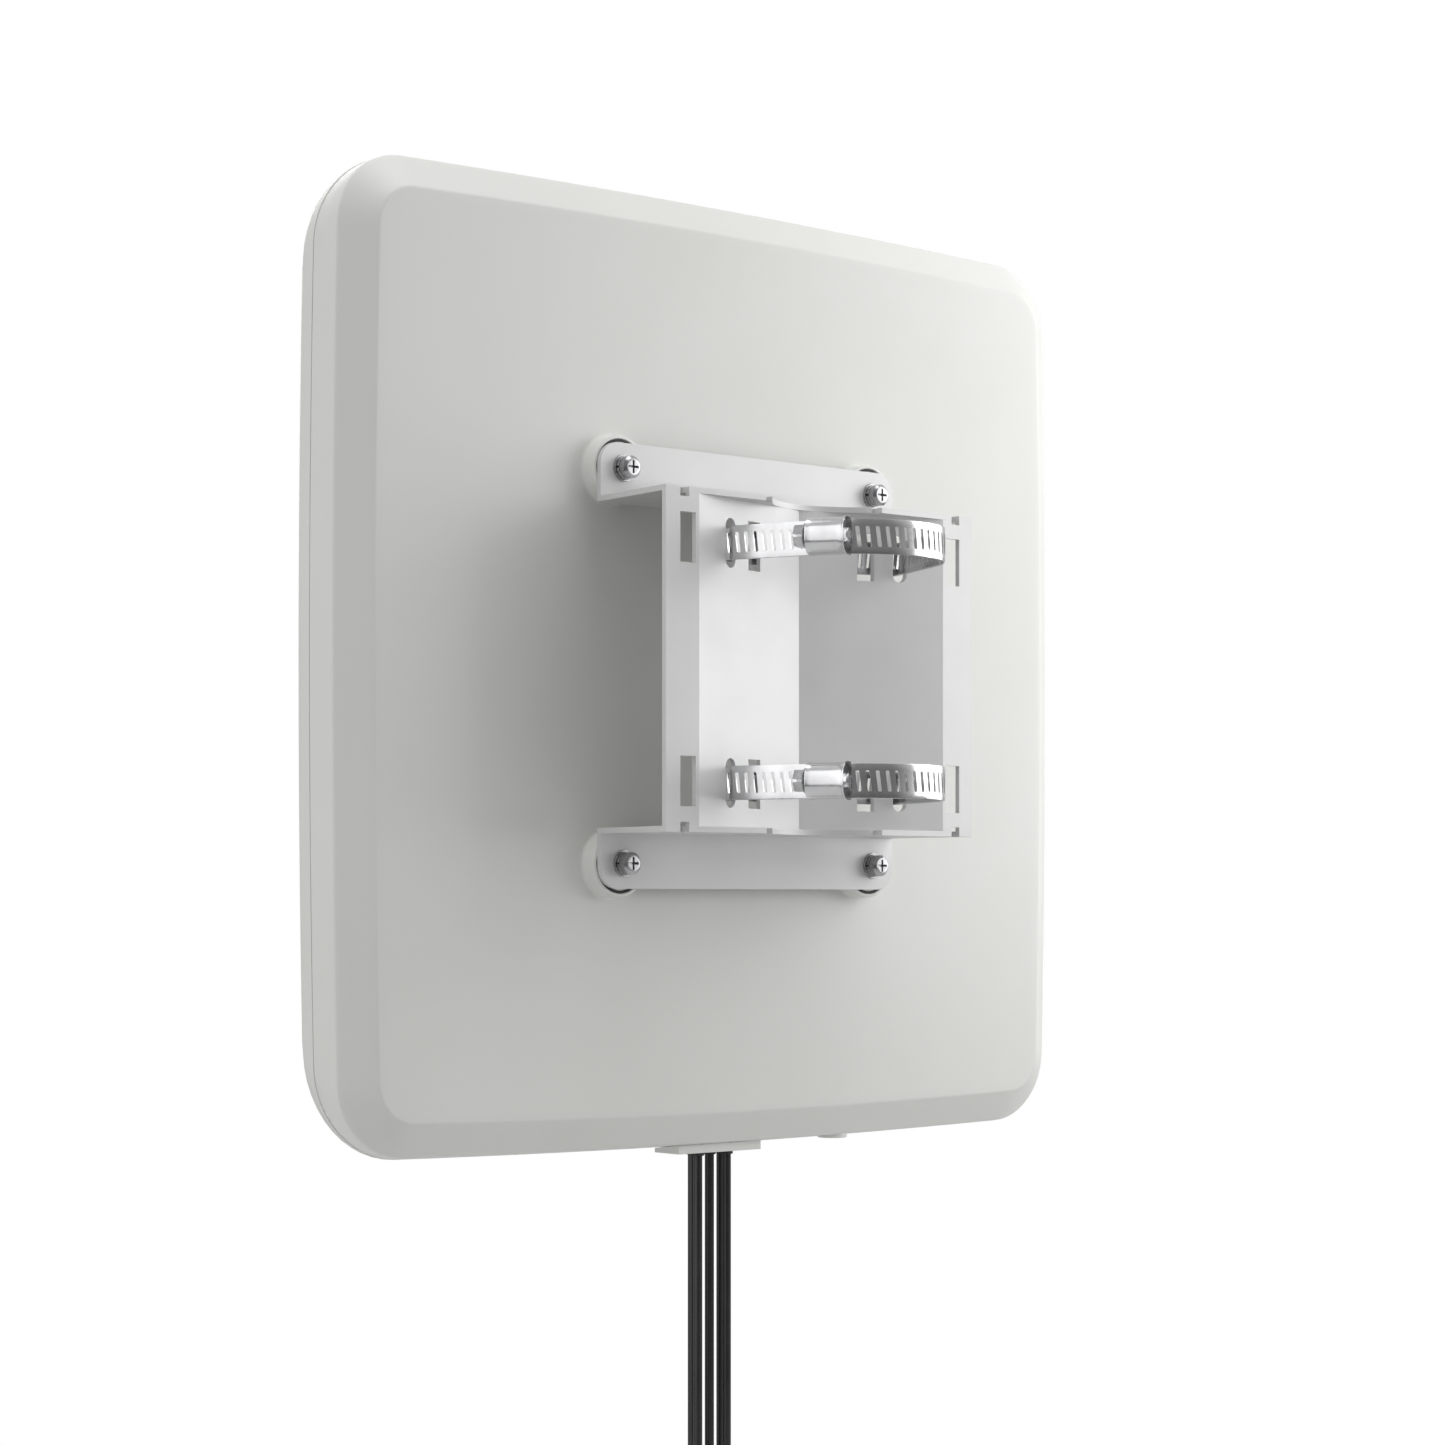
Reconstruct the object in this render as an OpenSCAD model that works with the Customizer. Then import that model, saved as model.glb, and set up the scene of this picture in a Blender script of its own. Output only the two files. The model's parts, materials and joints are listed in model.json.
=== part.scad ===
// Outdoor wireless bridge: a flat square antenna unit on a folded pole bracket with two worm-drive band
// clamps and five hanging leads. The Z axis is the pole's axis, and the antenna looks along -Y.

/* [Pole clamp] */
// Outside diameter of the pole that the clamps hold
pole_d = 60.3; // [58:0.1:61]
// Width of a clamp band
band_w = 12; // [9:0.5:13]
// Thickness of a clamp band
band_t = 0.7; // [0.6:0.1:0.8]
// Height of each band above and below the bracket's middle
band_z = 42; // [38:0.5:44]
// Turn of the worm housings around the pole, from +X
housing_turn = 30; // [28:1:60]

/* [Bracket] */
// Width of the bracket's front plate
bracket_w = 148; // [144:1:156]
// Height of the bracket between its two flanges
bracket_h = 119; // [112:1:124]
// Sheet thickness
sheet_t = 2; // [1.5:0.1:2.2]
// Distance of the front plate in front of the pole's axis
plate_y = 17; // [16:0.5:18]
// Distance of the mounting strips in front of the pole's axis
strip_y = 56.5; // [56:0.1:57]
// Height of a mounting strip
strip_h = 19.5; // [17:0.5:21]

/* [Antenna unit] */
// Width and height of the unit at its parting line
unit_w = 348.5; // [347:0.5:352]
// Width and height at the outer edge of the rear bevel
rim_w = 345.5; // [340:0.5:346.5]
// Width and height of the flat rear panel inside the bevel
panel_w = 322; // [316:0.5:326]
// How far each side bows outwards at its middle
side_bow = 2.5; // [0:0.1:4]
// Wall thickness of both covers
wall_t = 2.5; // [2:0.1:3]
// Mounting boss spacing across
boss_dx = 121; // [117:1:123]
// Mounting boss spacing in height
boss_dz = 140; // [138:1:142]

/* [Leads] */
// Diameter of a lead
lead_d = 3.5; // [3:0.1:4]
// Length of the longest lead, from its grommet to its plug
lead_len = 200; // [140:10:320]

/* [Hidden] */
$fn = 64;

pole_r = pole_d / 2;

// Depths of the antenna unit along Y, from the rear panel forwards
panel_y = -65;
rim_y = -73;
part_y = -85;
shoulder_y = -92;
front_y = -99;
panel_corner_r = 14;
rim_corner_r = 26;
unit_corner_r = 33;
front_corner_r = 44;

// What sheet edges and housings keep clear of the pole
pole_gap = 0.05;

// Saddle of the bracket: two flanks that meet behind the pole
saddle_x = 59;
flange_back_x = bracket_w / 2 - 3;
strip_top = bracket_h / 2 + strip_h;

// Slots for the bands
slot_h = 17.4;
slot_w = 7;
oval_w = 5.6;
outer_slot_x = 64;
inner_slot_x = 27;
oval_x = 41;
relief_x = [26, 65.5];

// Boss, screw and insert
boss_r = 12;
boss_y = -strip_y - sheet_t;
screw_r = 2.5;
insert_r = 3.5;
seal_r = 10.1;
washer_t = 1;
spring_t = 1.3;
head_h = 2.3;

// Leads: places across and in depth at the entry plate, and how much shorter each one is
lead_x = [8, -6, 5.5, -8.5, -0.25];
lead_y = [-78, -78, -84, -84, -81];
lead_short = [0, 0, 30, 30, 15];
entry_z = -unit_w / 2 - 3.25;
lead_steps = 15;
plug_len = 26;

// Inner posts: half their spacing across and in height
plate_post = 140;
board_post = 144;
radio_post = [70, 38, 145];

// Entry plate: half width of its opening, and the front and back ends of its lip
entry_half = 16;
lip_back = -74.5;
lip_front = -88.4;
lip_gap = 0.15;

// Height of the rear cover's lower edge at a depth y between the rim and the parting line
function edge_z(y) = -rim_w / 2 - ((unit_w - 0.4 - rim_w) / 2) * (rim_y - 0.5 - y) / (rim_y - part_y - 0.9);

// Pressure vent's place
vent = [-60, -78.4, -unit_w / 2 + 0.25];

// Worm drive
worm_r = 3.9;
worm_axis_r = pole_r + 2 * band_t + worm_r + 0.3;
housing_len = 14;

cover_color = [0.93, 0.93, 0.91];
steel_color = [0.75, 0.76, 0.78];
bracket_color = [0.9, 0.9, 0.9];
black = [0.06, 0.06, 0.065];
board_color = [0.1, 0.35, 0.18];
copper = [0.8, 0.5, 0.3];
brass = [0.8, 0.66, 0.35];

// ---- shapes used by several parts ----

function turned(p, k) = k == 0 ? p : turned([-p[1], p[0]], k - 1);

// A square outline with round corners, its sides bowed out by side_bow at their middles
function bowed_square(w, r) =
    let (a = w / 2, c = a - r, b = side_bow / a)
    [for (k = [0:3]) each [
        for (p = concat(
            [for (i = [0:8]) [c + r * cos(i * 11.25), c + r * sin(i * 11.25)]],
            [for (i = [1:7]) [c * (1 - i / 4), a]]))
        let (q = turned(p, k))
        [q[0] * (1 - b * pow(q[1] / a, 2)), q[1] * (1 - b * pow(q[0] / a, 2))]]];

// A slab with that outline, from y0 forwards to y1
module slab(w, r, y0, y1) {
    translate([0, y0, 0]) rotate([90, 0, 0]) linear_extrude(y0 - y1) polygon(bowed_square(w, r));
}

// A round bar along Y, from y0 forwards to y1
module bar_y(r, y0, y1) {
    translate([0, y0, 0]) rotate([90, 0, 0]) cylinder(r = r, h = y0 - y1);
}

module at_bosses() {
    for (x = [-1, 1], z = [-1, 1]) translate([x * boss_dx / 2, 0, z * boss_dz / 2]) children();
}

module at_plate_posts() {
    for (x = [-1, 1], z = [-1, 1]) translate([x * plate_post, 0, z * plate_post]) children();
}

module at_board_posts() {
    for (x = [-1:1], z = [-1:1]) translate([x * board_post, 0, z * board_post]) children();
}

module box_between(a, b) {
    translate(a) cube([b[0] - a[0], b[1] - a[1], b[2] - a[2]]);
}

// ---- antenna unit ----

module rear_cover() {
    color(cover_color) difference() {
        union() {
            difference() {
                hull() {
                    slab(panel_w, panel_corner_r, panel_y, panel_y - 0.5);
                    slab(rim_w, rim_corner_r, rim_y, rim_y - 0.5);
                    slab(unit_w - 0.4, unit_corner_r, part_y + 0.4, part_y);
                }
                hull() {
                    slab(panel_w - 4, panel_corner_r - 2, panel_y - wall_t, panel_y - wall_t - 0.5);
                    slab(rim_w - 2 * wall_t, rim_corner_r - 2, rim_y - 1.5, rim_y - 2);
                    slab(rim_w - 2 * wall_t + 1, rim_corner_r + 3, part_y + 0.4, part_y - 1);
                }
            }
            at_bosses() bar_y(boss_r, boss_y, panel_y - 1);
            at_bosses() bar_y(6, panel_y - 1, panel_y - 8);
            at_plate_posts() bar_y(4, panel_y - 1, -85.5);
        }
        at_bosses() bar_y(insert_r, boss_y + 1, panel_y - 6.5);
        at_bosses() difference() {
            bar_y(seal_r + 0.5, boss_y + 1, boss_y - 0.6);
            bar_y(seal_r - 0.5, boss_y + 2, boss_y - 1);
        }
        box_between([-entry_half, part_y - 0.1, -180], [entry_half, -75.5, -165]);
        translate(vent) cylinder(r = 4.6, h = 20, center = true);
        translate([vent[0], vent[1], vent[2] - 1]) cylinder(r = 5.7, h = 3);
        at_plate_posts() bar_y(1.3, -74, -90);
    }
}

module front_radome() {
    color(cover_color) difference() {
        hull() {
            slab(unit_w, unit_corner_r, part_y - 0.3, part_y - 0.8);
            slab(unit_w + 0.6, unit_corner_r + 3, -89, -89.5);
            slab(unit_w - 4, front_corner_r, shoulder_y - 2, shoulder_y - 2.5);
            slab(unit_w - 14, front_corner_r - 4, shoulder_y - 5, shoulder_y - 5.3);
            slab(unit_w - 70, unit_corner_r, front_y + 0.3, front_y);
        }
        hull() {
            slab(unit_w - 2 * wall_t - 2, unit_corner_r - 2, part_y, part_y - 0.8);
            slab(unit_w - 2 * wall_t - 3, unit_corner_r, -90, -90.5);
            slab(unit_w - 16, front_corner_r - 5, shoulder_y - 3, shoulder_y - 3.5);
            slab(unit_w - 72, unit_corner_r - 2, front_y + wall_t + 0.3, front_y + wall_t);
        }
        box_between([-entry_half, -87.4, -180], [entry_half, part_y, -165]);
    }
}

// Rubber cord in the joint between the two covers
module perimeter_seal() {
    color(black) difference() {
        slab(unit_w - 1.4, unit_corner_r - 1, part_y, part_y - 0.3);
        slab(unit_w - 2 * wall_t - 1, unit_corner_r - 3, part_y + 1, part_y - 2);
        box_between([-entry_half - 0.2, -90, -180], [entry_half + 0.2, -80, -165]);
    }
}

// Four short screws that hold the reflector plate to the rear cover from inside
module plate_screws() {
    color(steel_color) at_plate_posts() {
        bar_y(1.25, -74.5, -87.1);
        bar_y(2.6, -87, -88.6);
    }
}

module mounting_inserts() {
    color(brass) at_bosses() difference() {
        bar_y(insert_r - 0.02, boss_y - 0.8, panel_y - 6.3);
        bar_y(screw_r + 0.05, boss_y + 1, panel_y - 9);
    }
}

module boss_seals() {
    color(black) at_bosses() difference() {
        bar_y(seal_r + 0.45, boss_y, boss_y - 0.55);
        bar_y(seal_r - 0.45, boss_y + 1, boss_y - 1);
    }
}

module reflector_plate() {
    color(steel_color) difference() {
        slab(324, 22, -85.5, -87);
        at_bosses() bar_y(7, -80, -95);
        at_plate_posts() bar_y(1.4, -80, -95);
        box_between([-22, -90, -175], [22, -80, -150]);
    }
}

module patch_board() {
    color(board_color) difference() {
        box_between([-150, -92.1, -150], [150, -90.5, 150]);
        at_board_posts() bar_y(1.5, -80, -99);
    }
}

// Six rows of six square patches, etched from copper foil
module patch_elements() {
    pitch = 46;
    side = 19;
    color(copper) for (i = [-2.5:2.5], j = [-2.5:2.5])
        box_between([i * pitch - side / 2, -92.3, j * pitch - side / 2],
            [i * pitch + side / 2, -92.1, j * pitch + side / 2]);
}

module board_posts() {
    color(brass) at_board_posts() {
        bar_y(2.5, -87, -90.5);
        bar_y(1.4, -90.4, -92.2);
        bar_y(2.6, -92.1, -93.2);
    }
}

module radio_board() {
    color(board_color) box_between([-75, -78.6, -150], [75, -77, -30]);
}

// Short posts that hang the radio board from the reflector plate
module radio_posts() {
    color(brass) for (x = [-1, 1], z = [radio_post[1], radio_post[2]]) translate([x * radio_post[0], 0, -z])
        bar_y(2.5, -78.6, -85.5);
}

module shield_cans() {
    color(steel_color) {
        box_between([-60, -81.6, -80], [-15, -78.6, -45]);
        box_between([10, -81.6, -90], [60, -78.6, -50]);
        box_between([-30, -81.6, -125], [15, -78.6, -100]);
    }
}

// Soft pad that carries the radio's heat into the reflector plate
module heat_pad() {
    color([0.55, 0.62, 0.7]) box_between([12, -85.5, -88], [58, -81.6, -52]);
}

// Row of board sockets above the entry plate
module lead_sockets() {
    color(brass) for (i = [-2:2]) translate([i * 12, -81, -147]) {
        cylinder(r = 2.4, h = 8, center = true);
        translate([0, 0.2, 3.5]) cube([6, 4.2, 3], center = true);
    }
}

module earth_strap() {
    color(copper) {
        box_between([-66, -85.5, -140], [-58, -78.6, -138.8]);
        box_between([-66, -79.4, -140], [-58, -78.6, -128]);
    }
}

// Pressure vent in the lower edge
module vent_plug() {
    color(cover_color) translate(vent) {
        cylinder(r = 4.5, h = 8);
        cylinder(r = 5.6, h = 1.95);
    }
}

// Plate in the lower edge, its lip's top sloped to lie on both covers
module entry_plate() {
    lip_z = -unit_w / 2 - 2.05;
    color(cover_color) difference() {
        union() {
            rotate([90, 0, 90]) linear_extrude(40, center = true) polygon([
                [lip_back, lip_z], [lip_back, edge_z(lip_back) - lip_gap],
                [part_y, edge_z(part_y + 0.4) - lip_gap],
                [lip_front, -unit_w / 2 - 0.3 - lip_gap], [lip_front, lip_z]]);
            box_between([-entry_half + 0.2, -87.2, lip_z + 1.5], [entry_half - 0.2, -75.7, -167]);
        }
        for (i = [0:4]) translate([lead_x[i], lead_y[i], -171])
            cylinder(r = lead_d / 2 + 0.75, h = 20, center = true);
    }
}

module lead_grommets() {
    color(black) for (i = [0:4]) translate([lead_x[i], lead_y[i], 0]) difference() {
        translate([0, 0, entry_z]) cylinder(r = lead_d / 2 + 0.7, h = 9);
        translate([0, 0, entry_z - 1]) cylinder(r = lead_d / 2 - 0.4, h = 12);
    }
}

// ---- pole bracket ----

flank_angle = asin((pole_r + pole_gap) / norm([saddle_x, plate_y])) - atan2(plate_y, saddle_x);
saddle_y = -plate_y - saddle_x * tan(flank_angle);

function plate_line(shift) = [
    [bracket_w / 2, -plate_y - shift], [saddle_x, -plate_y - shift], [0, saddle_y - shift],
    [-saddle_x, -plate_y - shift], [-bracket_w / 2, -plate_y - shift]];

// Bent plate whose two flanks cradle the pole
module saddle_plate() {
    height = bracket_h - 2 * sheet_t;
    color(bracket_color) difference() {
        translate([0, 0, -height / 2]) linear_extrude(height)
            polygon(concat(plate_line(0), [for (i = [4:-1:0]) plate_line(sheet_t)[i]]));
        for (s = [-1, 1], z = [-1, 1]) {
            translate([s * outer_slot_x, 0, z * band_z]) band_slot();
            translate([s * inner_slot_x, 0, z * band_z]) band_slot();
            translate([s * oval_x, 0, z * band_z]) band_oval();
            for (x = relief_x) corner_relief(s * x, z);
        }
    }
}

// Flange and upright strip that join the saddle plate to the antenna unit, above it (s = 1) or below (s = -1)
module angle_piece(s) {
    color(bracket_color) difference() {
        union() {
            translate([0, 0, s * (bracket_h - sheet_t) / 2]) linear_extrude(sheet_t, center = true) polygon([
                [bracket_w / 2, -plate_y], [flange_back_x, -strip_y - sheet_t],
                [-flange_back_x, -strip_y - sheet_t], [-bracket_w / 2, -plate_y]]);
            mounting_strip(s);
        }
        cylinder(r = pole_r + pole_gap, h = bracket_h + 10, center = true);
        at_bosses() bar_y(screw_r + 0.25, -strip_y + 5, -strip_y - 10);
        for (side = [-1, 1], x = relief_x) corner_relief(side * x, s);
    }
}

module upper_angle() {
    angle_piece(1);
}

module lower_angle() {
    angle_piece(-1);
}

// Upright strip beyond a flange, with round outer corners
module mounting_strip(s) {
    corner = 8;
    low = bracket_h / 2 - sheet_t;
    side = flange_back_x;
    translate([0, -strip_y, 0]) rotate([90, 0, 0]) linear_extrude(sheet_t)
        mirror([0, s > 0 ? 0 : 1]) union() {
            translate([-side, low]) square([2 * side, strip_top - low - corner]);
            translate([-side + corner, low]) square([2 * (side - corner), strip_top - low]);
            for (x = [-1, 1]) translate([x * (side - corner), strip_top - corner]) circle(r = corner);
        }
}

module band_slot() {
    translate([0, -24, 0]) cube([slot_w, 30, slot_h], center = true);
}

module band_oval() {
    straight = slot_h - oval_w;
    translate([0, -24, 0]) rotate([90, 0, 0]) linear_extrude(30, center = true) {
        square([oval_w, straight], center = true);
        for (e = [-1, 1]) translate([0, e * straight / 2]) circle(d = oval_w);
    }
}

// Small square relief at the end of a bend
module corner_relief(x, s) {
    translate([x, -plate_y - 1.5, s * (bracket_h / 2 - 1)]) cube([4, 5, 5], center = true);
}

// Depths of the faces of a screw's stack: on the strip, on the flat washer, under the head, and its edge
washer_y = -strip_y + washer_t;
head_y = washer_y + spring_t;
edge_y = head_y + head_h;

module bracket_screws() {
    color(steel_color) at_bosses() difference() {
        union() {
            bar_y(screw_r, head_y + 1, panel_y - 5.5);
            bar_y(4, edge_y, head_y);
            translate([0, edge_y, 0]) rotate([-90, 0, 0]) cylinder(r1 = 4, r2 = 2.9, h = 0.9);
        }
        for (a = [0, 90]) rotate([0, a, 0])
            box_between([-2.3, edge_y - 1, -0.4], [2.3, edge_y + 3, 0.4]);
    }
}

module spring_washers() {
    color(steel_color) at_bosses() difference() {
        bar_y(4.3, head_y, washer_y);
        bar_y(screw_r + 0.1, head_y + 1, washer_y - 1);
        box_between([2, washer_y - 1, -0.3], [6, head_y + 1, 0.3]);
    }
}

module flat_washers() {
    color(steel_color) at_bosses() difference() {
        bar_y(4.8, washer_y, -strip_y);
        bar_y(screw_r + 0.1, washer_y + 1, -strip_y - 1);
    }
}

// ---- band clamps ----

// The band leaves the pole's circle at leave_turn and runs straight to its slot in the saddle
function flank_y(x) = saddle_y + (abs(x) / saddle_x) * (-plate_y - saddle_y);
slot_point = [oval_x, flank_y(oval_x)];
slot_dist = norm(slot_point);
leave_turn = atan2(slot_point[1], slot_point[0]) + acos((pole_r + band_t / 2) / slot_dist);
leave_point = (pole_r + band_t / 2) * [cos(leave_turn), sin(leave_turn)];
back_point = slot_point - [-0.5, sheet_t + 2];
apex_point = [0, saddle_y - sheet_t / cos(flank_angle) - band_t / 2 - 0.15];

// A straight run of band between two points in plan. It starts a little early, inside the round part, and it
// is a hair thinner, so that their faces don't meet along a tangent.
module band_run(a, b) {
    early = 0.5;
    t = band_t - 0.04;
    d = b - a;
    translate(a) rotate(atan2(d[1], d[0])) translate([-early, -t / 2]) square([norm(d) + early, t]);
}

module band_fold(p) {
    translate(p) circle(d = band_t + 0.1, $fn = 16);
}

module band(z) {
    color(steel_color) translate([0, 0, z - band_w / 2]) linear_extrude(band_w) {
        difference() {
            circle(r = pole_r + band_t);
            circle(r = pole_r);
            polygon([[0, 0], 60 * [cos(leave_turn), sin(leave_turn)], [60, -60], [-60, -60],
                60 * [-cos(leave_turn), sin(leave_turn)]]);
        }
        for (s = [-1, 1]) mirror([s < 0 ? 1 : 0, 0]) {
            band_run(leave_point, slot_point);
            band_run(slot_point, back_point);
            band_run(back_point, apex_point);
            band_fold(slot_point);
            band_fold(back_point);
        }
        band_fold(apex_point);
    }
}

module upper_band() {
    band(band_z);
}

module lower_band() {
    band(-band_z);
}

// Moves a part from the worm drive's own frame, X outwards from the pole and Y along the worm, to its place
module at_drive(z) {
    translate([0, 0, z]) rotate(housing_turn) children();
}

module housing(z) {
    wall = 0.7;
    half = band_w / 2;
    color(steel_color) at_drive(z) difference() {
        union() {
            translate([worm_axis_r, 0, 0]) rotate([90, 0, 0])
                cylinder(r = worm_r + 1.3, h = housing_len, center = true);
            box_between([pole_r - 1, -housing_len / 2, -half - wall],
                [worm_axis_r - 1.2, housing_len / 2, half + wall]);
        }
        translate([worm_axis_r, 0, 0]) rotate([90, 0, 0])
            cylinder(r = worm_r + 0.3, h = housing_len - 3, center = true);
        translate([worm_axis_r, 0, 0]) rotate([90, 0, 0])
            cylinder(r = 2.55, h = housing_len + 2, center = true);
        cylinder(r = pole_r + pole_gap, h = 30, center = true, $fn = 128);
        box_between([pole_r - 2, -housing_len, -half], [pole_r + 2.6, housing_len, half]);
    }
}

module upper_housing() {
    housing(band_z);
}

module lower_housing() {
    housing(-band_z);
}

module worm(z) {
    head_end = housing_len / 2 + 0.4;
    color(steel_color) at_drive(z) translate([worm_axis_r, 0, 0]) rotate([90, 0, 0]) difference() {
        union() {
            cylinder(r = worm_r, h = housing_len - 4, center = true);
            cylinder(r = 2.5, h = housing_len + 1.6, center = true);
            translate([0, 0, head_end]) cylinder(r = 4.3, h = 4.2, $fn = 6);
            translate([0, 0, head_end]) cylinder(r = 4.5, h = 0.8);
        }
        translate([0, 0, head_end + 4]) cube([12, 1.1, 3], center = true);
    }
}

module upper_worm() {
    worm(band_z);
}

module lower_worm() {
    worm(-band_z);
}

// ---- leads ----

function lead_end_z(i) = entry_z - (lead_len - lead_short[i]);

// Points that a lead follows, straight down from its grommet
function lead_route(i) = [for (k = [0:lead_steps])
    [lead_x[i], lead_y[i], entry_z + (lead_end_z(i) - entry_z) * k / lead_steps]];

// An eight-sided tube along a hanging route
module lead(i) {
    route = lead_route(i);
    n = len(route);
    points = [for (p = route) each [for (a = [0:45:315])
        p + lead_d / 2 * [cos(a), sin(a), 0]]];
    sides = [for (k = [0:n - 2]) each [for (j = [0:7])
        [8 * k + j, 8 * k + (j + 1) % 8, 8 * (k + 1) + (j + 1) % 8, 8 * (k + 1) + j]]];
    color(black) polyhedron(points,
        concat([[7, 6, 5, 4, 3, 2, 1, 0]], sides, [[for (j = [0:7]) 8 * (n - 1) + j]]));
}

module lead_1() {
    lead(0);
}

module lead_2() {
    lead(1);
}

module lead_3() {
    lead(2);
}

module lead_4() {
    lead(3);
}

module lead_5() {
    lead(4);
}

// Crimp boot, coupling nut and pin of a screw-on plug
module plug(i) {
    z = lead_end_z(i);
    translate([lead_x[i], lead_y[i], 0]) {
        color(black) translate([0, 0, z - 12]) cylinder(r = 2.4, h = 12);
        color(brass) translate([0, 0, z - 16]) cylinder(r = 3, h = 4);
        color(brass) translate([0, 0, z - 24]) cylinder(r = 3.9, h = 8, $fn = 6);
        color(brass) translate([0, 0, z - plug_len]) cylinder(r = 2.6, h = 2);
    }
}

module plug_1() {
    plug(0);
}

module plug_2() {
    plug(1);
}

module plug_3() {
    plug(2);
}

module plug_4() {
    plug(3);
}

module plug_5() {
    plug(4);
}

rear_cover();
front_radome();
perimeter_seal();
plate_screws();
mounting_inserts();
boss_seals();
reflector_plate();
patch_board();
patch_elements();
board_posts();
radio_board();
radio_posts();
shield_cans();
heat_pad();
lead_sockets();
earth_strap();
vent_plug();
entry_plate();
lead_grommets();
saddle_plate();
upper_angle();
lower_angle();
bracket_screws();
spring_washers();
flat_washers();
upper_band();
lower_band();
upper_housing();
lower_housing();
upper_worm();
lower_worm();
lead_1();
lead_2();
lead_3();
lead_4();
lead_5();
plug_1();
plug_2();
plug_3();
plug_4();
plug_5();
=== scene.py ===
"""Looks of an outdoor wireless bridge: a square antenna unit on a folded bracket with two pole clamps."""

import json
import math

import bmesh
import bpy
from mathutils import Matrix, Vector


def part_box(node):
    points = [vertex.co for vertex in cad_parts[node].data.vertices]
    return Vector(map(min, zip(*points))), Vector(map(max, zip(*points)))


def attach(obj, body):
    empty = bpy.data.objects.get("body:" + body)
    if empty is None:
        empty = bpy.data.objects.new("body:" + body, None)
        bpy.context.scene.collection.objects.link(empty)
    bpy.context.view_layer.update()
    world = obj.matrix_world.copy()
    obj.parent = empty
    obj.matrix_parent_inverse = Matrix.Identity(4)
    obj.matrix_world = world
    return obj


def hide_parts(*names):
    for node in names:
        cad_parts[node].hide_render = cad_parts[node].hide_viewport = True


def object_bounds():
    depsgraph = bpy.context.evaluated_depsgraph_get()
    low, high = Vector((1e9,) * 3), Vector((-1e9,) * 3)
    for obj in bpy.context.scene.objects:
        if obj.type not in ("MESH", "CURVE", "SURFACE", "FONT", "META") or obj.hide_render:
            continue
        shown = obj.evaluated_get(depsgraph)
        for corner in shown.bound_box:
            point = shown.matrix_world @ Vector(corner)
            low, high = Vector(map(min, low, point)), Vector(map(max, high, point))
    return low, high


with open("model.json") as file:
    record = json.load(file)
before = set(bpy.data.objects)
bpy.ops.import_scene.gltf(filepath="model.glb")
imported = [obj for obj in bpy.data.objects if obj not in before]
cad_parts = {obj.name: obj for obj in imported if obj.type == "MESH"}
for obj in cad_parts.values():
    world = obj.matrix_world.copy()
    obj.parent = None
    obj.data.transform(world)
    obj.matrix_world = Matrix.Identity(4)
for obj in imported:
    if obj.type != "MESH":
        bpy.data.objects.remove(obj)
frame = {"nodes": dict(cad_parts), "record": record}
cad_low, cad_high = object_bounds()

MM = 0.001
ROOT = "unit"

# Driving sizes, in millimetres, as in the CAD frame. PLATE_Y and STRIP_Y are distances from the pole's axis.
POLE_R = 30.15
BAND_T = 0.7
BAND_W = 12.0
POLE_GAP = 0.05
SADDLE_X = 59.0
PLATE_Y = 17.0
SHEET_T = 2.0
OVAL_X = 41.0
STRIP_Y = 56.5
BOSS_R = 12.0
SEAL_R = 10.1
INSERT_R = 3.5
BOSS_X = 60.5
BOSS_Z = 70.0
PANEL_Y = -65.0
RIM_Y = -73.0
PART_Y = -85.0
SEAM = 0.3
SHOULDER_Y = -92.0
FRONT_Y = -99.0
WALL = 2.5
UNIT_W = 348.5
RIM_W = 345.5
PANEL_W = 322.0
UNIT_CORNER = 33.0
RIM_CORNER = 26.0
PANEL_CORNER = 14.0
FRONT_CORNER = 44.0
SIDE_BOW = 2.5
HOUSING_TURN = math.radians(30)
HOUSING_LEN = 14.0
WORM_R = 3.9
WORM_AXIS_R = POLE_R + 2 * BAND_T + WORM_R + 0.3
CLAMP_Z = {"upper": 42.0, "lower": -42.0}
SLOT_PITCH = 3.5
LEADS = range(1, 6)


# ---- camera ----

def make_camera():
    """A level camera behind the unit, on its +X side, whose shift raises the view."""
    data = bpy.data.cameras.new("camera")
    data.lens = 79.54
    data.sensor_width = 36
    data.shift_y = 0.1222
    camera = bpy.data.objects.new("camera", data)
    bpy.context.scene.collection.objects.link(camera)
    camera.location = (0.7719, 0.8230, -0.0826)
    camera.rotation_euler = Vector((-0.6526, -0.7577, 0)).to_track_quat("-Z", "Y").to_euler()
    bpy.context.scene.camera = camera


make_camera()


# ---- materials ----

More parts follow.
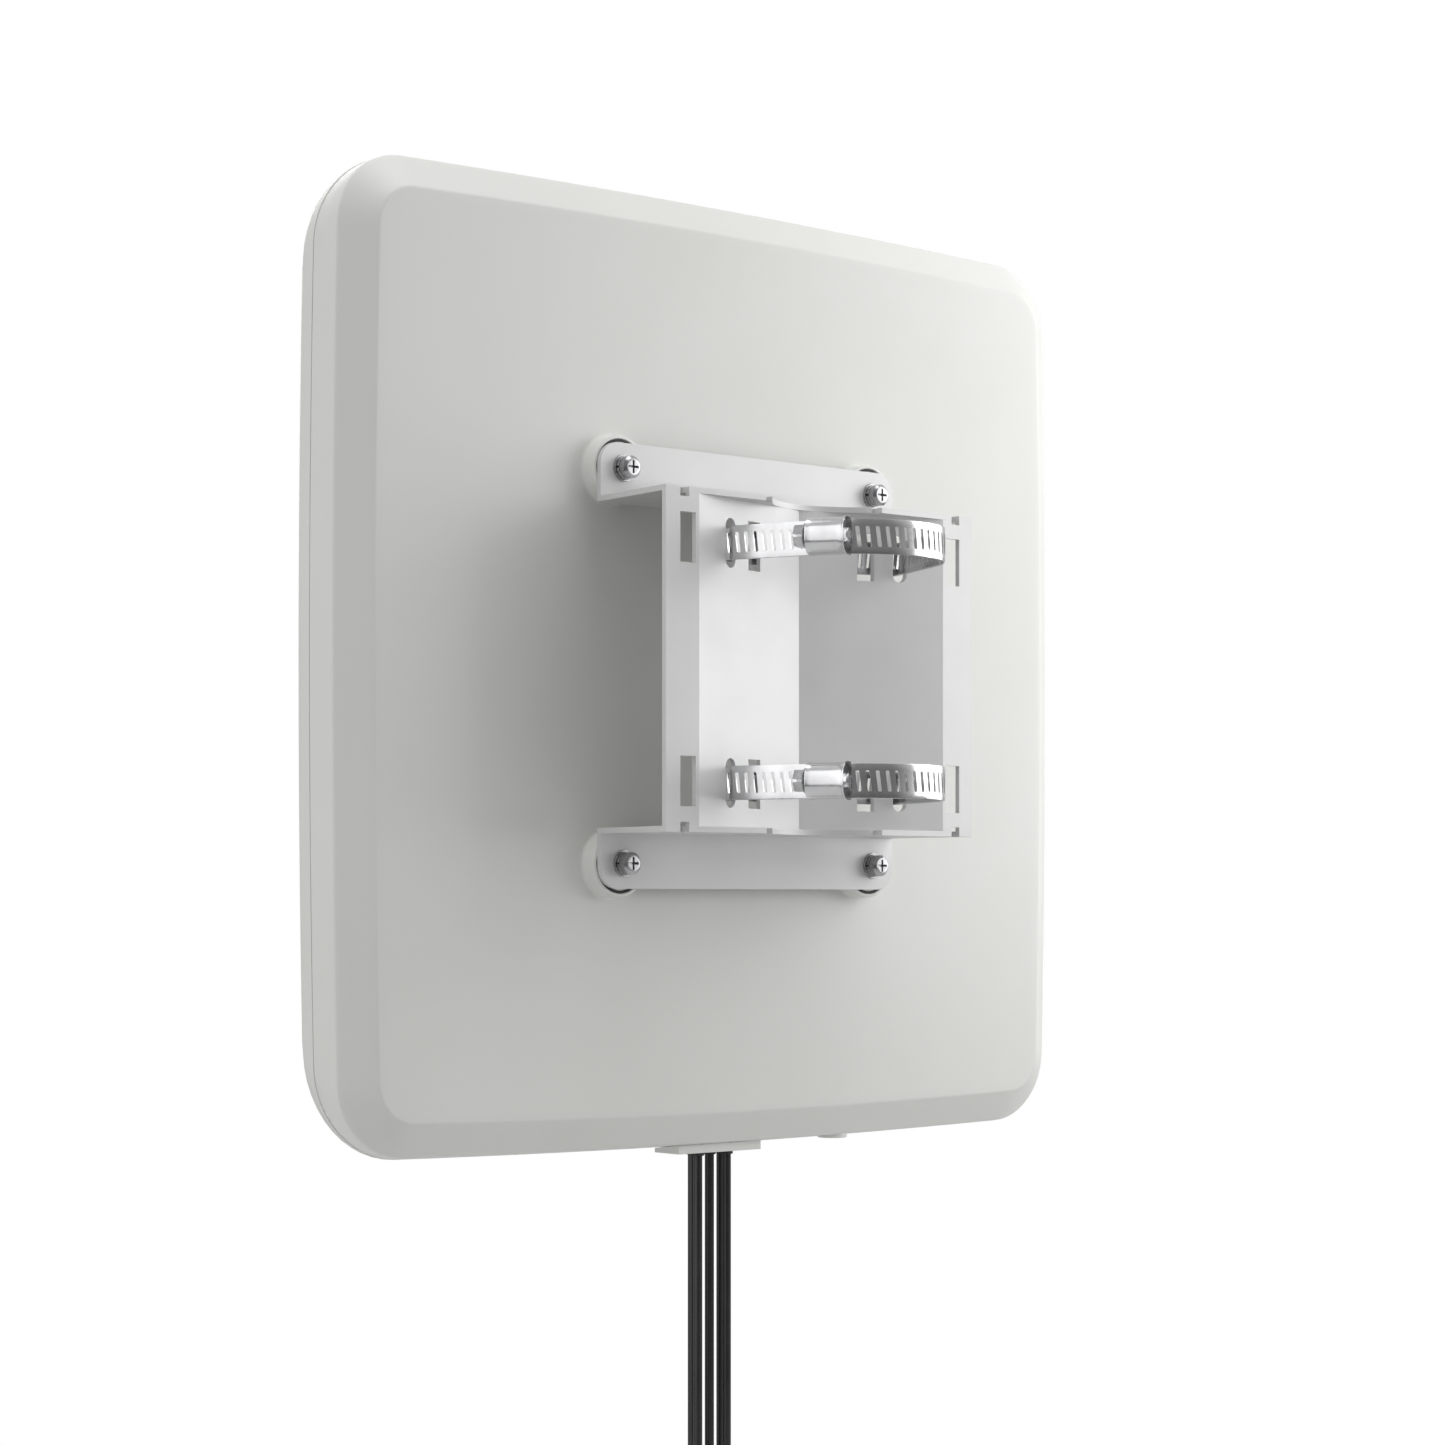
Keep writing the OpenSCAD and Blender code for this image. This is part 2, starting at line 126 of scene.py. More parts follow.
class Shader:
    """A Principled material with helpers for the noise that varies its colour, roughness and surface."""

    def __init__(self, name, metallic=0.0, ior=1.5):
        self.material = bpy.data.materials.new(name)
        self.material.use_nodes = True
        self.tree = self.material.node_tree
        self.shader = self.tree.nodes["Principled BSDF"]
        self.shader.inputs["Metallic"].default_value = metallic
        self.shader.inputs["IOR"].default_value = ior
        self.height = None

    def noise(self, scale, detail, stretch=(1, 1, 1)):
        """Noise in the object's own space, whose value drives a colour, a roughness or a bump."""
        place = self.tree.nodes.new("ShaderNodeTexCoord")
        mapping = self.tree.nodes.new("ShaderNodeMapping")
        mapping.inputs["Scale"].default_value = stretch
        texture = self.tree.nodes.new("ShaderNodeTexNoise")
        texture.inputs["Scale"].default_value = scale
        texture.inputs["Detail"].default_value = detail
        self.tree.links.new(place.outputs["Object"], mapping.inputs["Vector"])
        self.tree.links.new(mapping.outputs["Vector"], texture.inputs["Vector"])
        return texture.outputs["Fac"]

    def colour(self, factor, first, second):
        ramp = self.tree.nodes.new("ShaderNodeValToRGB")
        ramp.color_ramp.elements[0].position = 0.3
        ramp.color_ramp.elements[1].position = 0.7
        ramp.color_ramp.elements[0].color = (*first, 1)
        ramp.color_ramp.elements[1].color = (*second, 1)
        self.tree.links.new(factor, ramp.inputs["Fac"])
        self.tree.links.new(ramp.outputs["Color"], self.shader.inputs["Base Color"])

    def roughness(self, factor, low, high):
        spread = self.tree.nodes.new("ShaderNodeMapRange")
        spread.inputs["From Min"].default_value = 0.3
        spread.inputs["From Max"].default_value = 0.7
        spread.inputs["To Min"].default_value = low
        spread.inputs["To Max"].default_value = high
        self.tree.links.new(factor, spread.inputs["Value"])
        self.tree.links.new(spread.outputs["Result"], self.shader.inputs["Roughness"])

    def bump(self, factor, depth_mm, strength):
        """Adds a bump on top of those already there."""
        bump = self.tree.nodes.new("ShaderNodeBump")
        bump.inputs["Strength"].default_value = strength
        bump.inputs["Distance"].default_value = depth_mm * MM
        self.tree.links.new(factor, bump.inputs["Height"])
        if self.height is not None:
            self.tree.links.new(self.height, bump.inputs["Normal"])
        self.height = bump.outputs["Normal"]
        self.tree.links.new(self.height, self.shader.inputs["Normal"])


def moulded_plastic():
    s = Shader("cover_plastic", ior=1.49)
    s.colour(s.noise(6, 4), (0.665, 0.67, 0.64), (0.70, 0.705, 0.68))
    s.roughness(s.noise(40, 4), 0.36, 0.46)
    s.bump(s.noise(1600, 2), 0.03, 0.35)
    s.bump(s.noise(9, 1), 0.25, 0.12)
    return s.material


def powder_coat():
    s = Shader("bracket_paint", metallic=0.15, ior=1.5)
    s.colour(s.noise(40, 2), (0.6, 0.6, 0.6), (0.62, 0.62, 0.62))
    s.roughness(s.noise(60, 4), 0.36, 0.42)
    s.bump(s.noise(900, 2), 0.04, 0.3)
    return s.material


def rolled_stainless():
    s = Shader("stainless_steel", metallic=1.0)
    s.colour(s.noise(90, 4), (0.58, 0.58, 0.59), (0.72, 0.72, 0.73))
    s.roughness(s.noise(500, 4, (1, 1, 12)), 0.12, 0.26)
    s.bump(s.noise(900, 3, (1, 1, 14)), 0.01, 0.25)
    return s.material


def turned_steel(name, dark, light, low, high):
    s = Shader(name, metallic=1.0)
    s.colour(s.noise(150, 2), dark, light)
    s.roughness(s.noise(500, 2), low, high)
    s.bump(s.noise(1800, 2), 0.006, 0.3)
    return s.material


def rubber(name, low, high, grain, depth_mm):
    s = Shader(name, ior=1.5)
    s.colour(s.noise(40, 2), (0.013, 0.013, 0.014), (0.022, 0.022, 0.023))
    s.roughness(s.noise(70, 2), low, high)
    s.bump(s.noise(grain, 2), depth_mm, 0.3)
    return s.material


def metal(name, dark, light, low, high):
    s = Shader(name, metallic=1.0)
    s.colour(s.noise(60, 4), dark, light)
    s.roughness(s.noise(350, 3), low, high)
    s.bump(s.noise(1200, 2), 0.01, 0.3)
    return s.material


def solder_mask():
    s = Shader("circuit_board", ior=1.5)
    s.colour(s.noise(180, 5), (0.012, 0.12, 0.045), (0.03, 0.2, 0.08))
    s.roughness(s.noise(220, 3), 0.25, 0.4)
    s.bump(s.noise(600, 3), 0.03, 0.4)
    return s.material


def silicone():
    s = Shader("pad_silicone", ior=1.41)
    s.colour(s.noise(150, 3), (0.38, 0.46, 0.54), (0.48, 0.56, 0.62))
    s.roughness(s.noise(200, 3), 0.6, 0.75)
    s.bump(s.noise(900, 3), 0.05, 0.4)
    return s.material


FINISHES = {
    "cover_plastic": moulded_plastic(),
    "bracket_paint": powder_coat(),
    "stainless_steel": rolled_stainless(),
    "worm_steel": turned_steel("worm_steel", (0.42, 0.42, 0.43), (0.6, 0.6, 0.61), 0.2, 0.34),
    "screw_steel": turned_steel("screw_steel", (0.34, 0.34, 0.345), (0.44, 0.44, 0.45), 0.2, 0.3),
    "seal_rubber": rubber("seal_rubber", 0.55, 0.7, 700, 0.03),
    "lead_jacket": rubber("lead_jacket", 0.2, 0.27, 2400, 0.006),
    "plug_metal": metal("plug_metal", (0.75, 0.55, 0.22), (0.88, 0.68, 0.34), 0.18, 0.3),
    "brass_parts": metal("brass_parts", (0.7, 0.52, 0.22), (0.82, 0.64, 0.32), 0.22, 0.35),
    "copper_parts": metal("copper_parts", (0.72, 0.38, 0.22), (0.86, 0.5, 0.34), 0.22, 0.38),
    "plate_aluminium": metal("plate_aluminium", (0.74, 0.74, 0.75), (0.84, 0.84, 0.85), 0.28, 0.42),
    "tinned_steel": metal("tinned_steel", (0.6, 0.6, 0.6), (0.72, 0.72, 0.72), 0.25, 0.4),
    "circuit_board": solder_mask(),
    "pad_silicone": silicone(),
}


# ---- mesh building ----

def add_piece(name, mesh, slot, body, *nodes, sharp=28):
    """Puts a finished mesh in the scene as a piece that stands for these CAD nodes."""
    mesh.materials.clear()
    mesh.materials.append(FINISHES[slot])
    for polygon in mesh.polygons:
        polygon.use_smooth = True
    mesh.set_sharp_from_angle(angle=math.radians(sharp))
    piece = bpy.data.objects.new(name, mesh)
    bpy.context.scene.collection.objects.link(piece)
    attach(piece, body)
    if nodes:
        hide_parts(*nodes)
    return piece


def loft(bm, rings):
    """Skins rings of points of equal count, with a face on each end."""
    made = [[bm.verts.new(Vector(p) * MM) for p in ring] for ring in rings]
    count = len(made[0])
    for a, b in zip(made, made[1:]):
        for i in range(count):
            j = (i + 1) % count
            bm.faces.new((a[i], a[j], b[j], b[i]))
    bm.faces.new(made[0][::-1])
    bm.faces.new(made[-1])


def lathe(bm, profile, place, sides):
    """Turns a profile of (radius, height) points about the place's own Z axis, with a face on each end."""
    rings = []
    for radius, height in profile:
        ring = []
        for i in range(sides):
            a = 2 * math.pi * i / sides
            ring.append(place @ Vector((radius * math.cos(a), radius * math.sin(a), height)))
        rings.append(ring)
    loft(bm, rings)


def mesh_of(bm, name):
    """Makes a mesh from finished faces, all turned outwards."""
    bmesh.ops.recalc_face_normals(bm, faces=bm.faces)
    mesh = bpy.data.meshes.new(name)
    bm.to_mesh(mesh)
    bm.free()
    return mesh


def bowed_square(width, radius, y):
    """A square ring with round corners, its sides bowed out at their middles."""
    arc_steps, side_steps = 12, 16
    half = width / 2
    centre = half - radius
    bow = SIDE_BOW / half
    quarter = [(centre + radius * math.cos(math.pi / 2 * i / arc_steps),
                centre + radius * math.sin(math.pi / 2 * i / arc_steps)) for i in range(arc_steps + 1)]
    quarter += [(centre * (1 - 2 * i / side_steps), half) for i in range(1, side_steps)]
    ring = []
    for k in range(4):
        for x, z in quarter:
            for _ in range(k):
                x, z = -z, x
            ring.append((x * (1 - bow * (z / half) ** 2), y, z * (1 - bow * (x / half) ** 2)))
    return ring


def along_y(x, y, z):
    """A place at (x, y, z) whose own Z axis points along +Y, out of the rear panel."""
    return Matrix.Translation((x, y, z)) @ Matrix.Rotation(-math.pi / 2, 4, "X")


def at_bosses():
    """The (x, z) places of the four bosses."""
    return [(x * BOSS_X, z * BOSS_Z) for x in (-1, 1) for z in (-1, 1)]


# ---- antenna unit ----

def rear_cover():
    """The rear shell, from its inside face round the parting edge to the outside, and its four bosses."""
    bm = bmesh.new()
    inside = [
        (PANEL_W - 6, PANEL_CORNER - 2, PANEL_Y - WALL),
        (PANEL_W - 4, PANEL_CORNER - 2, PANEL_Y - WALL - 0.5),
        (RIM_W - 2 * WALL, RIM_CORNER - 2, RIM_Y - 2),
    ]
    side_wall = [
        (UNIT_W - 2 * WALL - 1, UNIT_CORNER - 2, PART_Y),
        (UNIT_W - 1.2, UNIT_CORNER - 0.5, PART_Y),
        (UNIT_W - 0.7, UNIT_CORNER - 0.2, PART_Y + 0.1),
        (UNIT_W - 0.45, UNIT_CORNER, PART_Y + 0.4),
    ]
    rim_edge = [
        (RIM_W + 0.25, RIM_CORNER + 0.3, RIM_Y - 1),
        (RIM_W, RIM_CORNER + 0.1, RIM_Y - 0.45),
        (RIM_W - 0.45, RIM_CORNER - 0.1, RIM_Y - 0.1),
        (RIM_W - 1.15, RIM_CORNER - 0.3, RIM_Y + 0.22),
        (RIM_W - 2.2, RIM_CORNER - 0.8, RIM_Y + 0.6),
    ]
    panel_edge = [
        (PANEL_W + 1.6, PANEL_CORNER + 0.8, PANEL_Y - 0.48),
        (PANEL_W + 0.6, PANEL_CORNER + 0.4, PANEL_Y - 0.16),
        (PANEL_W - 0.3, PANEL_CORNER, PANEL_Y - 0.03),
        (PANEL_W - 1.2, PANEL_CORNER - 0.4, PANEL_Y),
        (PANEL_W - 6, PANEL_CORNER - 2, PANEL_Y),
    ]
    loft(bm, [bowed_square(*ring) for ring in inside + side_wall + rim_edge + panel_edge])
    for x, z in at_bosses():
        boss(bm, x, z)
    add_piece("rear_cover_shell", mesh_of(bm, "rear_cover_shell"), "cover_plastic", ROOT, "rear_cover")


def boss(bm, x, z):
    """A round boss with the insert's hole, a groove for its seal, rounded edges and a fillet at its foot."""
    top = -STRIP_Y - SHEET_T
    low = PANEL_Y - 1.5
    groove_in = SEAL_R - 0.55
    groove_out = SEAL_R + 0.55
    foot = BOSS_R + 0.9
    hole = [(INSERT_R, low), (INSERT_R, top - 0.3), (INSERT_R + 0.3, top)]
    groove = [(groove_in - 0.2, top), (groove_in, top - 0.2), (groove_in, top - 0.7),
              (groove_out, top - 0.7), (groove_out, top - 0.2), (groove_out + 0.2, top)]
    edge = [(BOSS_R - 0.8, top), (BOSS_R - 0.25, top - 0.2), (BOSS_R, top - 0.75)]
    fillet = [(BOSS_R, PANEL_Y + 0.9), (BOSS_R + 0.25, PANEL_Y + 0.3), (foot, PANEL_Y), (foot, low)]
    lathe(bm, hole + groove + edge + fillet, along_y(x, 0, z), sides=96)


def front_radome():
    """The front shell, from its inside face round the parting edge and the shoulder to the shallow dome."""
    bm = bmesh.new()
    back = PART_Y - SEAM
    lip = PART_Y - 0.05
    side_wall = [
        (UNIT_W - 2 * WALL - 2, UNIT_CORNER - 2, back),
        (UNIT_W - 1.36, UNIT_CORNER - 0.8, back),
        (UNIT_W - 1.32, UNIT_CORNER - 0.8, lip),
        (UNIT_W - 0.4, UNIT_CORNER - 0.2, lip),
        (UNIT_W - 0.1, UNIT_CORNER, lip - 0.25),
        (UNIT_W + 0.55, UNIT_CORNER + 3, SHOULDER_Y + 2.8),
    ]
    shoulder = [
        (UNIT_W + 0.2, FRONT_CORNER - 6.5, SHOULDER_Y + 1.4),
        (UNIT_W - 1, FRONT_CORNER - 3.5, SHOULDER_Y),
        (UNIT_W - 4.2, FRONT_CORNER, SHOULDER_Y - 2.1),
        (UNIT_W - 8.4, FRONT_CORNER - 1.6, SHOULDER_Y - 3.6),
        (UNIT_W - 14.4, FRONT_CORNER - 4, SHOULDER_Y - 5),
        (UNIT_W - 24, FRONT_CORNER - 5, SHOULDER_Y - 5.8),
    ]
    dome = [
        (UNIT_W - 44, UNIT_CORNER + 3, FRONT_Y + 0.55),
        (UNIT_W - 70, UNIT_CORNER, FRONT_Y + 0.1),
        (UNIT_W - 90, UNIT_CORNER, FRONT_Y),
        (UNIT_W - 130, UNIT_CORNER, FRONT_Y),
    ]
    inside = [
        (UNIT_W - 130, UNIT_CORNER - 2, FRONT_Y + WALL),
        (UNIT_W - 72, UNIT_CORNER - 2, FRONT_Y + WALL + 0.3),
        (UNIT_W - 16, FRONT_CORNER - 5, SHOULDER_Y - 3),
        (UNIT_W - 2 * WALL - 3, UNIT_CORNER, SHOULDER_Y + 2),
    ]
    loft(bm, [bowed_square(*ring) for ring in inside + side_wall + shoulder + dome])
    add_piece("front_radome_shell", mesh_of(bm, "front_radome_shell"), "cover_plastic", ROOT, "front_radome")


def bevelled(node, slot, width, segments=2):
    """A copy of a CAD node with clean faces and small round edges."""
    sharp = 34
    bm = bmesh.new()
    bm.from_mesh(frame["nodes"][node].data)
    bmesh.ops.remove_doubles(bm, verts=bm.verts, dist=1e-6)
    bmesh.ops.dissolve_limit(bm, angle_limit=math.radians(0.6), verts=bm.verts, edges=bm.edges)
    piece = add_piece(node + "_detail", mesh_of(bm, node + "_detail"), slot, ROOT, node, sharp=sharp)
    edge = piece.modifiers.new("edges", "BEVEL")
    edge.width = width * MM
    edge.segments = segments
    edge.limit_method = "ANGLE"
    edge.angle_limit = math.radians(sharp)
    edge.harden_normals = True
    edge.use_clamp_overlap = True


# ---- band clamps ----

def saddle_fold():
    """The Y of the saddle's middle fold, and the angle of its flanks, which lie a small gap off the pole."""
    reach = math.hypot(SADDLE_X, PLATE_Y)
    flank = math.asin((POLE_R + POLE_GAP) / reach) - math.atan2(PLATE_Y, SADDLE_X)
    return -PLATE_Y - SADDLE_X * math.tan(flank), flank


def band_route(step):
    """The band's centreline in plan: round the pole, out to its slot, and across behind the saddle."""
    fold_y, flank = saddle_fold()
    middle = POLE_R + BAND_T / 2
    slot = Vector((OVAL_X, fold_y + OVAL_X / SADDLE_X * (-PLATE_Y - fold_y)))
    behind_slot = slot + Vector((0.5, -SHEET_T - 2))
    behind_fold = Vector((0, fold_y - SHEET_T / math.cos(flank) - BAND_T / 2 - 0.15))
    start = math.pi / 2
    leave = math.atan2(slot.y, slot.x) + math.acos(middle / slot.length)
    arc_steps = 80
    half = []
    for i in range(arc_steps + 1):
        a = start + (leave - start) * i / arc_steps
        half.append(middle * Vector((math.cos(a), math.sin(a))))
    half += [slot, behind_slot, behind_fold]
    mirrored = [Vector((-p.x, p.y)) for p in half[-2:0:-1]]
    return resample(soft_folds(half + mirrored), step)


def soft_folds(route):
    """The same closed route with its corners cut twice, so that the folds are soft."""
    straight = 0.15
    longest_cut = 0.5
    for _ in range(2):
        cut = []
        for i, p in enumerate(route):
            a, b = route[i - 1], route[(i + 1) % len(route)]
            if (p - a).angle(b - p, 0) < straight:
                cut.append(p)
                continue
            for q in (a, b):
                cut.append(p + (q - p).normalized() * min(longest_cut, (q - p).length / 3))
        route = cut
    return route


def resample(route, step):
    """Points at even steps along a closed route, with the outward direction at each."""
    lengths = [(route[(i + 1) % len(route)] - p).length for i, p in enumerate(route)]
    total = sum(lengths)
    count = round(total / step)
    found = []
    i, start = 0, 0.0
    for k in range(count):
        at = total * k / count
        while at > start + lengths[i]:
            start += lengths[i]
            i += 1
        a, b = route[i], route[(i + 1) % len(route)]
        d = (b - a).normalized()
        found.append((a + d * (at - start), Vector((d.y, -d.x))))
    return found


def route_length(points):
    """The length of a closed route of resampled points."""
    return sum((points[(i + 1) % len(points)][0] - p[0]).length for i, p in enumerate(points))


class BandGrid:
    """The band as a grid of rows at even steps along its route and columns across it, with two skins."""

    SLOT_ROWS = 10
    SLOT_HALF_LEN = 3.6
    SLOT_HALF_W = 0.6
    SLANT = 0.12
    EDGE_ROUND = 0.12
    COLUMNS = (-BAND_W / 2, -BAND_W / 2 + 0.35,
               -SLOT_HALF_LEN - 0.35, -SLOT_HALF_LEN, -SLOT_HALF_LEN + 0.45,
               0,
               SLOT_HALF_LEN - 0.45, SLOT_HALF_LEN, SLOT_HALF_LEN + 0.35,
               BAND_W / 2 - 0.35, BAND_W / 2)

    def __init__(self, middle_z):
        rows = self.SLOT_ROWS
        trial = band_route(SLOT_PITCH / rows)
        slots = len(trial) // rows
        self.points = band_route(route_length(trial) / (slots * rows))
        self.total = len(self.points)
        self.step = route_length(self.points) / self.total
        self.middle_z = middle_z
        self.bm = bmesh.new()
        self.made = {}

    def place(self, along, z, lift):
        """A point at this many rows along the route, z above its middle and lift off its centreline."""
        along = along % self.total
        i = int(along)
        (p, n), (q, m) = self.points[i], self.points[(i + 1) % self.total]
        at = p.lerp(q, along - i) + n.lerp(m, along - i).normalized() * lift
        return Vector((at.x, at.y, self.middle_z + z)) * MM

    def vert(self, row, column, skin):
        """The one vertex of a grid point. Rows lean along the slots, and a slot narrows at its ends."""
        key = (row % self.total, column, skin)
        if key not in self.made:
            z = self.COLUMNS[column]
            last = len(self.COLUMNS) - 1
            thin = self.EDGE_ROUND if column in (0, last) else 0
            lean = z * self.SLANT / self.step if 2 <= column <= last - 2 else 0
            middle = (row % self.SLOT_ROWS) - self.SLOT_ROWS / 2
            beside_slot = abs(abs(middle) * self.step - self.SLOT_HALF_W) < self.step / 2
            draw_in = -0.3 * middle if column in (3, last - 3) and beside_slot else 0
            at = self.place(row + lean + draw_in, z, skin * (BAND_T / 2 - thin))
            self.made[key] = self.bm.verts.new(at)
        return self.made[key]

    def is_open(self, row, column):
        """Whether this cell is cut away, by a slot or past the band's edge."""
        last = len(self.COLUMNS) - 1
        if not 0 <= column < last:
            return True
        half = max(1, round(self.SLOT_HALF_W / self.step))
        middle = self.SLOT_ROWS // 2
        return 3 <= column < last - 3 and middle - half <= row % self.SLOT_ROWS < middle + half

    def add_cell(self, row, column):
        """Both skins of a cell, and a wall on each side that faces an opening."""
        for skin in (1, -1):
            self.bm.faces.new((self.vert(row, column, skin), self.vert(row + 1, column, skin),
                               self.vert(row + 1, column + 1, skin), self.vert(row, column + 1, skin)))
        sides = [((row, column), (row + 1, column), (row, column - 1)),
                 ((row, column + 1), (row + 1, column + 1), (row, column + 1)),
                 ((row, column), (row, column + 1), (row - 1, column)),
                 ((row + 1, column), (row + 1, column + 1), (row + 1, column))]
        for a, b, beside in sides:
            if self.is_open(*beside):
                self.bm.faces.new((self.vert(*a, 1), self.vert(*b, 1), self.vert(*b, -1), self.vert(*a, -1)))


def band(name, node):
    """A steel strip with a row of slanting worm slots cut through it."""
    low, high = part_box(node)
    grid = BandGrid((low.z + high.z) / 2 / MM)
    for row in range(grid.total):
        for column in range(len(grid.COLUMNS) - 1):
            if not grid.is_open(row, column):
                grid.add_cell(row, column)
    add_piece(name, mesh_of(grid.bm, name), "stainless_steel", ROOT, node, sharp=35)


def drive_place(z):
    """A worm drive's own frame: X outwards from the pole, Y along the worm away from its head, Z up."""
    return Matrix.Translation((0, 0, z)) @ Matrix.Rotation(HOUSING_TURN, 4, "Z")


def housing_ring(place, along, side, crown):
    """A cross-section of the housing, from the pole side up one flank, over the crown and down the other."""
    foot = POLE_R + 0.95
    shoulder = WORM_AXIS_R - 1.4
    fullness = 0.72
    steps = 24
    ring = [(foot, -side)]
    for i in range(steps + 1):
        a = math.pi * i / steps
        ring.append((shoulder + (crown - shoulder) * math.sin(a) ** fullness, -side * math.cos(a)))
    ring.append((foot, side))
    return [place @ Vector((x, along, z)) for x, z in ring]


def housing(name, node, z):
    """The worm's housing: a rolled lip at its head end, an even body, and a flared far end."""
    bm = bmesh.new()
    place = drive_place(z)
    head_end, far_end = -HOUSING_LEN / 2, HOUSING_LEN / 2
    crown = WORM_AXIS_R + WORM_R + 0.9
    lip = [
        (head_end + 0.9, 5.3, crown - 1),
        (head_end + 0.9, 5.6, crown - 0.75),
        (head_end + 0.15, 6.05, crown - 0.3),
        (head_end, 6.25, crown - 0.1),
        (head_end + 0.12, 6.4, crown + 0.05),
        (head_end + 0.5, 6.4, crown + 0.02),
    ]
    middle = [
        (head_end + 1.1, 6.25, crown - 0.15),
        (head_end + 2.2, 6.2, crown - 0.2),
        (0, 6.2, crown - 0.2),
        (far_end - 2.6, 6.2, crown - 0.2),
        (far_end - 1.3, 6.3, crown - 0.1),
    ]
    flare = [
        (far_end - 0.6, 6.5, crown + 0.15),
        (far_end - 0.15, 6.68, crown + 0.36),
        (far_end, 6.62, crown + 0.34),
        (far_end - 0.1, 6.3, crown + 0.05),
        (far_end - 0.6, 5.9, crown - 0.45),
        (far_end - 1.2, 5.6, crown - 0.8),
        (far_end - 1.2, 5.3, crown - 1),
    ]
    loft(bm, [housing_ring(place, *station) for station in lip + middle + flare])
    add_piece(name, mesh_of(bm, name), "stainless_steel", ROOT, node, sharp=40)


def worm(name, node, body, z):
    """A worm screw: its shank through the housing, a round collar, and a slotted hexagon head."""
    bm = bmesh.new()
    place = drive_place(z) @ Matrix.Translation((WORM_AXIS_R, 0, 0)) @ Matrix.Rotation(math.pi / 2, 4, "X")
    half = HOUSING_LEN / 2
    head = half + 0.4
    hexagon_r, slot_half = 4.3, 0.55
    shank = [(2.2, -half - 0.8), (2.45, -half - 0.5), (2.45, half + 0.5), (2.2, half + 0.6)]
    collar = [(3.9, head), (4.35, head + 0.08), (4.5, head + 0.3), (4.35, head + 0.62), (3.6, head + 0.8)]
    slot_floor = [(2.9, head + 0.3), (3.4, head + 0.6), (3.4, head + 2.7), (2.9, head + 2.75)]
    lathe(bm, shank, place, sides=40)
    lathe(bm, collar, place, sides=56)
    for side in (-1, 1):
        jaw = []
        for height, scale in ((0.3, 1), (3.5, 1), (3.95, 0.95), (4.2, 0.84)):
            outline = half_hexagon(hexagon_r * scale, slot_half)
            jaw.append([place @ Vector((x, y * side, head + height)) for x, y in outline])
        loft(bm, jaw)
    lathe(bm, slot_floor, place, sides=40)
    add_piece(name, mesh_of(bm, name), "worm_steel", body, node, sharp=30)


def half_hexagon(radius, slot_half):
    """The half of a hexagon that lies to one side of a slot, as a closed outline."""
    slope = slot_half / math.tan(math.radians(60))
    top = radius * math.sin(math.radians(60))
    return [(radius - slope, slot_half), (radius / 2, top), (-radius / 2, top), (-radius + slope, slot_half)]


# ---- leads ----

def lead(i):
    """A straight hanging lead and its screw-on plug, where the CAD solids lie."""
    node = f"lead_{i}"
    low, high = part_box(node)
    x, y = (low.x + high.x) / 2, (low.y + high.y) / 2
    length, diameter = high.z - low.z, high.x - low.x
    count = 20
    curve = bpy.data.curves.new(node + "_cord", "CURVE")
    curve.dimensions = "3D"
    curve.bevel_depth = diameter / 2
    curve.bevel_resolution = 5
    curve.use_fill_caps = True
    spline = curve.splines.new("POLY")
    spline.points.add(count - 1)
    for k, point in enumerate(spline.points):
        point.co = (x, y, high.z - length * k / (count - 1), 1)
    spline.use_smooth = True
    curve.materials.append(FINISHES["lead_jacket"])
    cord = bpy.data.objects.new(node + "_cord", curve)
    bpy.context.scene.collection.objects.link(cord)
    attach(cord, ROOT)
    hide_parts(node)
    plug(i, x, y)


def plug(i, x, y):
    """A lead's plug, as two pieces: a ribbed rubber boot, and the metal body with its nut."""
    node = f"plug_{i}"
    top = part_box(node)[1].z / MM
    place = Matrix.Translation((x / MM, y / MM, top))
    return [plug_boot(node, place), plug_nut(node, place)]


def plug_boot(node, place):
    bm = bmesh.new()
    neck = [(1.76, 0), (2.1, -0.15), (2.2, -0.8)]
    ribs = []
    for k in range(5):
        at = -1.4 - 1.5 * k
        ribs += [(1.95, at), (1.95, at - 0.4), (2.3, at - 0.6), (2.3, at - 1)]
    sleeve = [(2.4, -9.4), (2.4, -11.6), (2.2, -11.9), (1.2, -12)]
    lathe(bm, neck + ribs + sleeve, place, sides=40)
    return add_piece(node + "_boot", mesh_of(bm, node + "_boot"), "lead_jacket", ROOT)


def plug_nut(node, place):
    bm = bmesh.new()
    ferrule = [(1.2, -11.95), (2.8, -12), (3, -12.2), (3, -15.6), (2.7, -16), (1, -16.1)]
    body = [(2.4, -15.9), (3.5, -16), (3.7, -16.4), (3.7, -16.6), (3.5, -16.9),
            (3.5, -23.3), (3.5, -23.7), (3.2, -24), (2.3, -24.05)]
    hexagon = [(3.4, -19.9), (3.9, -20.2), (3.9, -23.2), (3.4, -23.6)]
    socket = [(2, -23.6), (2.6, -24), (2.6, -25.7), (2.4, -26), (1.7, -26), (1.7, -24.6)]
    pin = [(0.5, -24.5), (0.5, -25.6), (0.2, -25.8)]
    lathe(bm, ferrule, place, sides=48)
    knurl(bm, place, top=-16.6, bottom=-19.6)
    lathe(bm, body, place, sides=48)
    lathe(bm, hexagon, place, sides=6)
    lathe(bm, socket + pin, place, sides=40)
    return add_piece(node + "_nut", mesh_of(bm, node + "_nut"), "plug_metal", ROOT, node)


